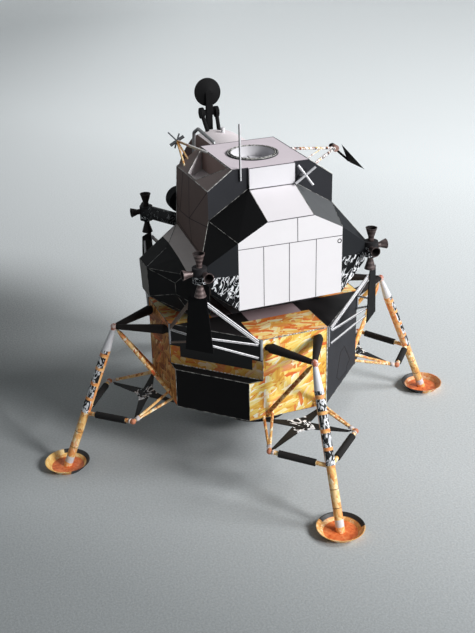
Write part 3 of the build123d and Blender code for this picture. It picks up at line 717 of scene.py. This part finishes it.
def pad_arc(paint, middle, reach):
    towards = (math.cos(math.radians(middle)), math.sin(math.radians(middle)), 0)
    from_middle = paint.vector("SUBTRACT", paint.point, (PAD_X, 0, 0))
    return paint.above(paint.dot(from_middle, towards), reach, 0.3)


def pad_wall(side, turn, arc, plain):
    """Rim wall of a footpad: gold print, black along its upper edge round one side."""
    paint = Paint(f"{side}_pad_wall_print", turn)
    gold, _ = foil_shade(paint, FOIL_PALE, (0, 1, 0), (0, 0, 1), 3.6, 1.4, 0.88)
    # plain is the leg's wall colour, with painted light on the port leg and painted shade on the
    # starboard leg
    gold = paint.mix(0.55, gold, colour(*plain))
    band = paint.times(pad_arc(paint, *arc), paint.above(paint.z, PAD_BAND_Z, 0.2))
    return paint.finish(paint.mix(band, gold, PRINT_BLACK), 0.5)


def pad_outside(side, turn, arc):
    paint = Paint(f"{side}_pad_outside_print", turn)
    gold, _ = foil_shade(paint, FOIL_DEEP, (0, 1, 0), (0, 0, 1), 5.0, 1.6)
    return paint.finish(paint.mix(pad_arc(paint, *arc), gold, PRINT_BLACK), 0.5)


PAD_FLOOR = pad_floor()


def pad_rule(side, turn, arc, plain):
    wall, outside = pad_wall(side, turn, arc, plain), pad_outside(side, turn, arc)

    def rule(normal, at):
        if normal.z > FACING:
            return wall if at.z > PAD_RIM_Z else PAD_FLOOR
        if normal.z < -FACING:
            return BLACK
        return wall if normal.x * (at.x - PAD_X) + normal.y * at.y < 0 else outside
    return rule


def secondary_rule(normal, at):
    """Orange knee, gold tube and black sleeve, by the share of the way from knee to strut."""
    axis = JUNCTION - KNEE_POINT
    from_knee = Vector((at.x, abs(at.y), at.z)) - KNEE_POINT
    share = from_knee.dot(axis) / axis.length_squared
    if share < 0.055:
        return KNEE
    return GOLD_TUBE if share < 0.148 or share > 0.762 else SLEEVE


def brace_paint(side, turn):
    """Cross brace: black card with a patch of crinkled foil print in the middle."""
    paint = Paint(f"{side}_brace_print", turn)
    silver, _ = crinkle_shade(paint, (1, 1, 0), (-1, 1, 0), 3.2, 2.2)
    edge = paint.times(paint.minus(paint.noise(1.6, 3.0), 0.5), 2.2)
    across = paint.plus(paint.size(paint.minus(paint.x, BRACE_X)), edge)
    along = paint.plus(paint.size(paint.y), edge)
    patch = paint.times(paint.below(across, 4.5), paint.below(along, 4.3))
    return paint.finish(paint.mix(patch, colour(22, 22, 23), silver), 0.6, 0.25)


for side, turn, seam, arc, plain in LEGS:
    dress(f"{side}_primary_strut", strut_paint(side, turn, seam))
    dress(f"{side}_footpad", pad_rule(side, turn, arc, plain), turn)
    dress(f"{side}_upper_struts", UPPER)
    # the aft leg's lower struts are in brown foil as painted shade
    dress(f"{side}_lower_struts", BROWN_TUBE if side == "aft" else GOLD_DEEP_TUBE)
    dress(f"{side}_secondary_struts", secondary_rule, turn)
    dress(f"{side}_deployment_truss", GOLD_TUBE)
    dress(f"{side}_cross_brace", brace_paint(side, turn))

# Exhaust deflectors
DEFLECTOR_CARDS = (BLACK, ROD_WHITE, ROD_LINE, ROD_SILVER, ROD_PAINTED_SHADE)
PANEL_FACES = 40
PANEL_WIDTH = 5
RISING_ROD = 8
LINE_SHARE = 0.945


def islands(shell):
    """The separate solids of a mesh, each as a list of face numbers."""
    shell.faces.ensure_lookup_table()
    waiting = set(range(len(shell.faces)))
    found = []
    while waiting:
        solid, queue = [], [waiting.pop()]
        while queue:
            index = queue.pop()
            solid.append(index)
            for edge in shell.faces[index].edges:
                for other in edge.link_faces:
                    if other.index in waiting:
                        waiting.discard(other.index)
                        queue.append(other.index)
        found.append(solid)
    return found


def rounded(point):
    return tuple(round(part, 1) for part in point)


def dress_deflector(quarter, turn, centre, line_side):
    """Black panel, silver uprights, and rods of white card with a grey line down one side. The
    rising rod on the port side of the port aft deflector is painted brown as painted shade."""
    panel_distance = (abs(centre[0]) + abs(centre[1])) / math.sqrt(2) + 0.38
    outward = Vector((math.cos(math.radians(turn)), math.sin(math.radians(turn)), 0))
    facing = Vector(line_side).normalized()
    mesh = nodes[f"{quarter}_deflector"].data
    mesh.materials.clear()
    for material in DEFLECTOR_CARDS:
        mesh.materials.append(material)
    shell = bmesh.new()
    shell.from_mesh(mesh)
    bmesh.ops.remove_doubles(shell, verts=shell.verts, dist=0.001 * MM)
    shown = {}
    for solid in islands(shell):
        points = [vert.co / MM for index in solid for vert in shell.faces[index].verts]
        far = max(points, key=lambda point: (point - points[0]).length)
        axis = (far - max(points, key=lambda point: (point - far).length)).normalized()
        best = (facing - axis * facing.dot(axis)).normalized()
        reach = max(point.dot(outward) for point in points)
        sideways = [point.cross(outward).z for point in points]
        heights = [point.z for point in points]
        flat = max(sideways) - min(sideways) > PANEL_WIDTH and len(solid) < PANEL_FACES
        rising = max(heights) - min(heights) > RISING_ROD
        for index in solid:
            face = shell.faces[index]
            if flat and reach > panel_distance:
                card_used = BLACK
            elif abs(axis.z) > 0.95:
                card_used = ROD_SILVER
            # painted shade on the port aft deflector's rising rod on its port side
            elif quarter == "port_aft" and rising and min(sideways) > 0:
                card_used = ROD_PAINTED_SHADE
            else:
                card_used = ROD_LINE if face.normal.dot(best) > LINE_SHARE else ROD_WHITE
            shown[rounded(face.calc_center_median() / MM)] = DEFLECTOR_CARDS.index(card_used)
    shell.free()
    plain = DEFLECTOR_CARDS.index(ROD_WHITE)
    for face in mesh.polygons:
        face.material_index = shown.get(rounded(face.center / MM), plain)


for quarter, turn, centre, _, line_side in QUARTERS:
    dress_deflector(quarter, turn, centre, line_side)


def placed(name, data):
    """A new object in the scene."""
    made = bpy.data.objects.new(name, data)
    bpy.context.scene.collection.objects.link(made)
    return made


# Pieces added to the solids, all on the root body
def turns(count):
    """Angles evenly round a circle, in radians."""
    return [2 * math.pi * k / count for k in range(count)]


def neighbours(ring):
    """Each point of a ring with the next one round it."""
    return zip(ring, ring[1:] + ring[:1])


def skin(made, near, far, smooth=False):
    """Faces between two rings of points."""
    for (a, b), (c, d) in zip(neighbours(near), neighbours(far)):
        made.faces.new((a, b, d, c)).smooth = smooth


def bar(made, start, end, corners, smooth=False):
    """A closed bar between two points in millimetres, from where its corners lie about them."""
    near, far = (
        [made.verts.new((point + corner) * MM) for corner in corners] for point in (start, end)
    )
    skin(made, near, far, smooth)
    made.faces.new(near[::-1])
    made.faces.new(far)


def add_piece(name, made, material):
    bmesh.ops.recalc_face_normals(made, faces=made.faces)
    data = bpy.data.meshes.new(name)
    made.to_mesh(data)
    made.free()
    data.materials.append(material)
    piece = placed(name, data)
    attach(piece, "root")


# Thin strips for printed lines and for folds whose edges are rubbed pale
STRIP_CORNERS = ((-1, -1), (1, -1), (1, 1), (-1, 1))
LINE = 0.26
RAISED = 0.08


def strips(name, rows, material):
    """Each row: start, end, outward direction, and a width and thickness that aren't those of a
    printed line, in millimetres."""
    made = bmesh.new()
    for start, end, outward, *sizes in rows:
        width, thickness = sizes or (LINE, RAISED)
        start, end, outward = Vector(start), Vector(end), Vector(outward).normalized()
        side = (end - start).cross(outward).normalized() * width / 2
        rise = outward * thickness / 2
        bar(made, start, end, [s * side + r * rise for s, r in STRIP_CORNERS])
    add_piece(name, made, material)


FOLD_ANGLE = math.radians(14)
FOLD_LENGTH = 1.5


def folds(name):
    """Folds of a node, each as start, end and its two outward directions, in millimetres."""
    mesh = nodes[name].data
    found = {}
    for face in mesh.polygons:
        places = (mesh.vertices[i].co / MM for i in face.vertices)
        corners = [tuple(round(part, 2) for part in place) for place in places]
        for a, b in neighbours(corners):
            if a != b:
                found.setdefault(tuple(sorted((a, b))), []).append(face.normal.copy())
    return [
        (Vector(a), Vector(b), normals) for (a, b), normals in found.items()
        if len(normals) == 2 and normals[0].angle(normals[1]) > FOLD_ANGLE
    ]


def fold_strips(name, node, material, width, keep=lambda a, b, normals: True):
    strips(name, [
        (a, b, normals[0] + normals[1], width, width * 0.7) for a, b, normals in folds(node)
        if (b - a).length > FOLD_LENGTH and keep(a, b, normals)
    ], material)


AFT, FORE, UP = (0, -1, 0), (0, 1, 0), (0, 0, 1)
AFT_UP = (0, -1, 1)
AFT_Y = -41.3
strips("bay_printed_lines", [
    ((-22.4, AFT_Y, 106.5), (22.4, AFT_Y, 105.6), AFT),
    ((-11.8, AFT_Y, 106.2), (-11.8, AFT_Y, 80.8), AFT),
    ((-0.8, AFT_Y, 106.0), (-0.8, AFT_Y, 80.8), AFT),
    ((10.9, AFT_Y, 105.8), (10.9, AFT_Y, 80.8), AFT),
    ((2.7, AFT_Y, 115.9), (2.8, AFT_Y, 106.0), AFT),
    ((-9.9, AFT_Y, 116.15), (9.9, AFT_Y, 116.15), AFT_UP, LINE * 1.2, 0.12),
    ((-9.9, -22.7, 123.6), (9.9, -22.7, 123.4), AFT_UP, LINE * 1.2, 0.3),
], INK)

CIRCLE_X, CIRCLE_Z, CIRCLE_RADIUS, CIRCLE_STEPS = 21.2, 103.4, 0.8, 16
circle = [
    (CIRCLE_X + CIRCLE_RADIUS * math.cos(turn), AFT_Y, CIRCLE_Z + CIRCLE_RADIUS * math.sin(turn))
    for turn in turns(CIRCLE_STEPS)
]
strips("bay_printed_circle", [(a, b, AFT, 0.34, RAISED) for a, b in neighbours(circle)], INK_DARK)

# y and z of the two ends of each line on the port wall
WALL_LINES = (
    ((2.8, 105.8), (14.7, 105.3)), ((2.8, 105.8), (0.9, 124.6)), ((2.8, 105.8), (-21.4, 124.6)),
    ((2.8, 105.8), (-19.8, 109.5)), ((2.8, 105.8), (0.7, 95.9)), ((14.7, 105.3), (8.5, 124.6)),
    ((18.5, 99.0), (0.7, 95.9)), ((0.7, 95.9), (-20.0, 93.5)), ((14.7, 105.3), (19.4, 108.0)),
)
WALL_LINE_X = 27.3
for side, sign in (("port", -1), ("starboard", 1)):
    x = sign * WALL_LINE_X
    strips(f"{side}_wall_lines", [
        ((x, *a), (x, *b), (sign, 0, 0)) for a, b in WALL_LINES
    ], INK_DARK)

ROOF_Z = 132.3
ROOF_X, ROOF_FORE, ROOF_AFT, TAB_X, TAB_AFT = 16.8, 15.5, -21.5, 9.9, -22.7
strips("roof_lines", [
    ((x, y, ROOF_Z), (to_x, to_y, ROOF_Z), outward, LINE, 0.15)
    for x, y, to_x, to_y, outward in (
        (-ROOF_X, ROOF_FORE, ROOF_X, ROOF_FORE, (0, 1, 1)),
        (-ROOF_X, ROOF_AFT, -TAB_X, ROOF_AFT, AFT_UP),
        (TAB_X, ROOF_AFT, ROOF_X, ROOF_AFT, AFT_UP),
        (ROOF_X, ROOF_AFT, ROOF_X, ROOF_FORE, (1, 0, 1)),
        (-ROOF_X, ROOF_AFT, -ROOF_X, ROOF_FORE, (-1, 0, 1)),
        (-TAB_X, TAB_AFT, TAB_X, TAB_AFT, AFT_UP),
    )
], INK)

FRONT_Y = 46.0
strips("front_printed_lines", [
    ((x, FRONT_Y, z), (to_x, FRONT_Y, to_z), FORE) for x, z, to_x, to_z in (
        (-9.5, 101.0, 9.5, 101.0), (-9.5, 118.0, 9.5, 118.0), (0, 101.0, 0, 129.0),
        (-9.5, 83.5, -9.5, 127.0), (9.5, 83.5, 9.5, 127.0),
    )
], INK_DARK)

TUNNEL_Z = 128.5
strips("tunnel_floor_line", [
    ((-1.4, -12.3, TUNNEL_Z), (0.6, 5.3, TUNNEL_Z), UP, 0.4, 0.12),
], INK_DARK)


def off_aft_face(a, b, normals):
    return all(normal.y > -0.97 for normal in normals)


def on_window(a, b, normals):
    return normals[0].angle(normals[1]) > math.radians(60) and all(
        end.y > 34 and abs(end.x) > 10 and 90 < end.z < 121 for end in (a, b)
    )


def on_hatch_front(a, b, normals):
    return any(normal.y > FACING for normal in normals)


def on_shoulder(a, b, normals):
    aft = any(normal.y < -FACING for normal in normals)
    upright = abs(normals[0].z * normals[1].z) < 0.01
    return min(abs(a.x), abs(b.x)) > WELL_INNER_X and (aft or upright) and a.z > 100


for node in ("ascent_aft_bay", "thruster_fairings", "port_tank_cover", "starboard_tank_cover"):
    fold_strips(f"{node}_folds", node, GREY_EDGE, 0.22, off_aft_face)
fold_strips("window_folds", "ascent_cabin", PALE_EDGE, 0.2, on_window)
fold_strips("hatch_folds", "front_hatch", INK_DARK, 0.3, on_hatch_front)
fold_strips("middle_folds", "ascent_middle", PALE_EDGE, 0.28, on_shoulder)
fold_strips("body_folds", "descent_body", GREY_EDGE, 0.24)
strips("port_tank_roof_fold", [
    ((-47.4, 0.1, 88.52), (-37.4, 5.3, 93.08), (-0.35, -0.13, 0.93), 0.22, 0.16),
], PALE_EDGE)
EDGE_TOP_Z = 66.9
strips("gear_face_cut_edge", [
    ((BAY_CORNER_X, -BAY_Y, FOOT_Z), (BAY_CORNER_X, -BAY_Y, EDGE_TOP_Z), (0.4, -1, 0), 0.4, 0.3),
    ((PORT_CORNER_X, -BAY_Y, LEDGE_Z - 0.1), (PORT_CORNER_X, -BAY_Y, EDGE_TOP_Z),
     (-0.4, -1, 0), 0.3, 0.25),
], PALE_EDGE)

# dashes of the worn lines along the aft top edge and along the foot of the port aft panel
TOP_DASHES, TOP_DASH_STEP, TOP_DASH_LENGTH = 19, 1.25, 0.75
strips("worn_top_edge", [
    ((x, -BAY_Y, DECK_Z), (x + TOP_DASH_LENGTH, -BAY_Y, DECK_Z), AFT_UP, 0.5, 0.25)
    for x in (-9.0 + step * TOP_DASH_STEP for step in range(TOP_DASHES))
], PALE_EDGE)
FOOT_DASHES, FOOT_DASH_PART = 26, 0.7
PANEL_RUN = BAY_Y + PORT_CORNER_X
dashes = []
for step in range(FOOT_DASHES):
    along = PANEL_RUN * (step + 0.2) / FOOT_DASHES
    x, y = PORT_CORNER_X - along, -BAY_Y + along
    dashes.append((
        (x, y, LEDGE_Z), (x - FOOT_DASH_PART, y + FOOT_DASH_PART, LEDGE_Z), (-1, -1, -1), 0.4, 0.2,
    ))
strips("panel_foot_edge", dashes, PALE_EDGE)

# Outlined access panel on the starboard aft face: how far along the face and how high each corner
PANEL_OUTLINE = (
    (18.4, 46.6), (23.9, 46.9), (32.2, 36.5), (28.1, 34.9), (28.6, 32.6), (17.9, 33.1),
    (13.9, 36.3),
)
corners = [
    Vector((BAY_CORNER_X + distance / math.sqrt(2), -BAY_Y + distance / math.sqrt(2), z))
    for distance, z in PANEL_OUTLINE
]
strips("starboard_panel_outline", [
    (a, b, (1, -1, 0), 0.5, 0.1) for a, b in neighbours(corners)
], INK_DARK)

ROD_SIDES = 14


def rods(name, rows, material):
    """Round rods, each from start, end and radius in millimetres, all in one piece."""
    made = bmesh.new()
    for start, end, radius in rows:
        axis = (end - start).normalized()
        across = axis.orthogonal().normalized()
        upward = axis.cross(across)
        bar(made, start, end, [
            (across * math.cos(t) + upward * math.sin(t)) * radius for t in turns(ROD_SIDES)
        ], smooth=True)
    add_piece(name, made, material)


# collars at the knees: what each points to, where it starts and ends on the way, its radius
COLLARS = ((TRUSS_HIGH, 1.6, 3.4, 0.8), (TRUSS_LOW, 1.4, 3.2, 0.85), (JUNCTION, 1.1, 1.9, 1.1))
for side, turn, *_ in LEGS:
    spin = Matrix.Rotation(math.radians(turn), 3, "Z")
    rows = []
    for flip in (1, -1):
        mirror = Matrix.Diagonal((1, flip, 1))
        knee = mirror @ KNEE_POINT
        for end, near, far, radius in COLLARS:
            step = (mirror @ end - knee).normalized()
            rows.append((spin @ (knee + step * near), spin @ (knee + step * far), radius))
    rods(f"{side}_collars", rows, COLLAR)

CRIMPS, CRIMP_SIDES = 120, 8


def crimped_ring(name, radius, thickness, z, seed):
    """Ring of rolled foil with crimps round it, lying on the docking tunnel."""
    made = bmesh.new()
    rings = []
    for i, turn in enumerate(turns(CRIMPS)):
        wobble = 0.5 + 0.5 * math.sin(i * 1.9 + seed) * math.cos(i * 0.73 + 2 * seed)
        size = thickness * (0.75 + 0.5 * wobble)
        ring = []
        for lean in turns(CRIMP_SIDES):
            out = radius + size * math.cos(lean)
            point = Vector((
                RING_CENTRE.x + out * math.cos(turn), RING_CENTRE.y + out * math.sin(turn),
                z + size * 0.8 * math.sin(lean),
            ))
            ring.append(made.verts.new(point * MM))
        rings.append(ring)
    for near, far in neighbours(rings):
        skin(made, near, far)
    add_piece(name, made, RING)


crimped_ring("docking_ring_inner", 9.35, 0.28, 132.85, 1.0)
crimped_ring("docking_ring_outer", 10.35, 0.24, 132.8, 4.0)


# Floor and backdrop: one sheet of pale paper, flat under the model and curved up behind it.
# These are in metres: its flat length, half its width, the radius and the top of the curve.
SHEET_NEAR, SHEET_FAR, SHEET_HALF, SHEET_CURVE, SHEET_TOP = -1.8, 1.15, 2.4, 0.5, 2.6
CURVE_STEPS = 12
# grey of the sheet at places along it in millimetres: painted light and shade across the sheet
SHEET_GREYS = ((-300, 136), (-200, 151), (-88, 184), (0, 202), (300, 217), (700, 232))
SHEET_DARK = colour(60, 62, 61)
# in millimetres: the middle of the painted shadow behind the model, and the floor under the lamps,
# where painted shade lies
PAINTED_SHADOW_PLACE = (-125.0, 165.0, 0.0)
UNDER_LAMPS = (900.0, -1000.0, 0.0)
# in metres: where the picture is taken from, with the level directions to its right and ahead
CAMERA_PLACE = (-0.155252, -0.387080, 0.254441)
TO_RIGHT, AHEAD = (0.934, -0.356, 0.0), (0.356, 0.934, 0.0)


def sheet_paint():
    paint = Paint("backdrop_paper")
    grain = paint.noise(0.9, 3.0)
    speckle = paint.times(paint.above(grain, 0.5, 0.3), 0.16)
    # painted light and shade: the sheet darkens towards the near left, away from the window, and is
    # palest far off
    run = paint.dot(paint.point, (1.2, 1.0, 0.5))
    first, last = SHEET_GREYS[0][0], SHEET_GREYS[-1][0]
    shade = paint.ramp(
        paint.math("DIVIDE", paint.minus(run, first), last - first, clamp=True),
        [((place - first) / (last - first), grey - 1, grey + 4, grey + 6)
         for place, grey in SHEET_GREYS],
    )
    # painted shadow around that place, added to the paper's speckle
    from_shadow = paint.vector("DISTANCE", paint.point, PAINTED_SHADOW_PLACE)
    dim = paint.fade(from_shadow, 20.0, 130.0, 0.5, 0.0)
    shade = paint.mix(paint.plus(speckle, dim), shade, SHEET_DARK)
    # painted shade: darker under the lamps, which stand close over the sheet out of the picture
    from_lamps = paint.vector("DISTANCE", paint.point, UNDER_LAMPS)
    shade = paint.mix(paint.fade(from_lamps, 450.0, 1200.0, 0.85, 0.0), shade, SHEET_DARK)
    material = paint.finish(shade, 0.9, 0.1, grain, 0.1)
    # painted light: a pale glow on the stretch of sheet far behind the model, less to the left
    far = paint.fade(run, 100.0, 620.0, 0.0, 0.32, "LINEAR")
    across = paint.dot(paint.point, (1.0, -0.5, 0.0))
    beside = paint.fade(across, -520.0, -140.0, 0.1, 1.0)
    here = tuple(part / MM for part in CAMERA_PLACE)
    from_here = paint.vector("SUBTRACT", paint.point, here)
    aside = paint.size(paint.dot(from_here, TO_RIGHT))
    ahead = paint.times(paint.dot(from_here, AHEAD), 0.27)
    behind = paint.fade(paint.minus(aside, ahead), 0.0, 260.0, 1.0, 0.0)
    seen = paint.node("LightPath", {}, "Is Camera Ray")
    glossy = paint.node("LightPath", {}, "Is Glossy Ray")
    glow = paint.times(paint.times(far, behind), beside)
    glow = paint.times(glow, paint.math("MAXIMUM", seen, glossy))
    sockets = paint.surface.node.inputs
    paint.tree.links.new(glow, sockets["Emission Strength"])
    paint.tree.links.new(shade, sockets["Emission Color"])
    return material


def backdrop():
    profile = [(SHEET_NEAR, 0.0), (SHEET_FAR, 0.0)]
    for step in range(1, CURVE_STEPS + 1):
        turn = math.radians(90 * step / CURVE_STEPS)
        profile.append((
            SHEET_FAR + SHEET_CURVE * math.sin(turn), SHEET_CURVE - SHEET_CURVE * math.cos(turn),
        ))
    profile.append((SHEET_FAR + SHEET_CURVE, SHEET_TOP))
    made = bmesh.new()
    left, right = (
        [made.verts.new((x, y, z)) for y, z in profile] for x in (-SHEET_HALF, SHEET_HALF)
    )
    for k in range(len(profile) - 1):
        made.faces.new((left[k], right[k], right[k + 1], left[k + 1])).smooth = True
    data = bpy.data.meshes.new("backdrop")
    made.to_mesh(data)
    made.free()
    sheet = placed("backdrop", data)
    data.materials.append(sheet_paint())


backdrop()

# Camera, from a least squares fit to the photograph: azimuth, elevation and roll in degrees
CAMERA_TURNS = (-20.877, 25.440, -1.320)
FOCAL_PIXELS = 1030.865
FRAME_HEIGHT = 633
SENSOR_WIDTH = 36.0


def place_camera():
    azimuth, elevation, roll = (math.radians(turn) for turn in CAMERA_TURNS)
    back = Vector((
        math.sin(azimuth) * math.cos(elevation), -math.cos(azimuth) * math.cos(elevation),
        math.sin(elevation),
    ))
    level = Vector((math.cos(azimuth), math.sin(azimuth), 0))
    upright = back.cross(level)
    right = level * math.cos(roll) + upright * math.sin(roll)
    up = upright * math.cos(roll) - level * math.sin(roll)
    data = bpy.data.cameras.new("camera")
    data.sensor_width = SENSOR_WIDTH
    data.lens = FOCAL_PIXELS * SENSOR_WIDTH / FRAME_HEIGHT
    data.clip_start, data.clip_end = 0.01, 50
    camera = placed("camera", data)
    turn = Matrix((right, up, back)).transposed().to_4x4()
    camera.matrix_world = Matrix.Translation(CAMERA_PLACE) @ turn
    bpy.context.scene.camera = camera


place_camera()

# metres: the point that the lamps face
LAMP_AIM = Vector((0, 0, 0.08))


def lamp(name, direction, distance, size, watts, tint=(1, 1, 1)):
    data = bpy.data.lights.new(name, "AREA")
    data.shape = "DISK"
    data.size = size
    data.energy = watts
    data.color = tint
    item = placed(name, data)
    towards = Vector(direction).normalized()
    item.location = LAMP_AIM + towards * distance
    item.rotation_mode = "QUATERNION"
    item.rotation_quaternion = towards.to_track_quat("Z", "Y")


lamp("window", (0.66, -1.0, 0.58), 1.6, 0.42, 22.0, (1.0, 0.99, 0.99))
lamp("side", (1.0, -0.55, 0.86), 1.5, 0.5, 14.0)


def light_room():
    """Soft light from all round, and a pale room beyond the sheet, as the camera and shiny
    surfaces see it."""
    world = bpy.data.worlds.new("studio")
    world.use_nodes = True
    bpy.context.scene.world = world
    tree = world.node_tree
    lit = tree.nodes["Background"]
    lit.inputs["Color"].default_value = (0.97, 1.0, 1.0, 1.0)
    lit.inputs["Strength"].default_value = 0.14
    room, rays, either, chosen = (
        tree.nodes.new("ShaderNode" + kind)
        for kind in ("Background", "LightPath", "Math", "MixShader")
    )
    room.inputs["Color"].default_value = colour(206, 211, 214)
    either.operation = "MAXIMUM"
    for start, end in (
        (rays.outputs["Is Camera Ray"], either.inputs[0]),
        (rays.outputs["Is Glossy Ray"], either.inputs[1]),
        (either.outputs["Value"], chosen.inputs[0]),
        (lit.outputs["Background"], chosen.inputs[1]),
        (room.outputs["Background"], chosen.inputs[2]),
        (chosen.outputs["Shader"], tree.nodes["World Output"].inputs["Surface"]),
    ):
        tree.links.new(start, end)


light_room()
bpy.context.scene.view_settings.view_transform = "Standard"
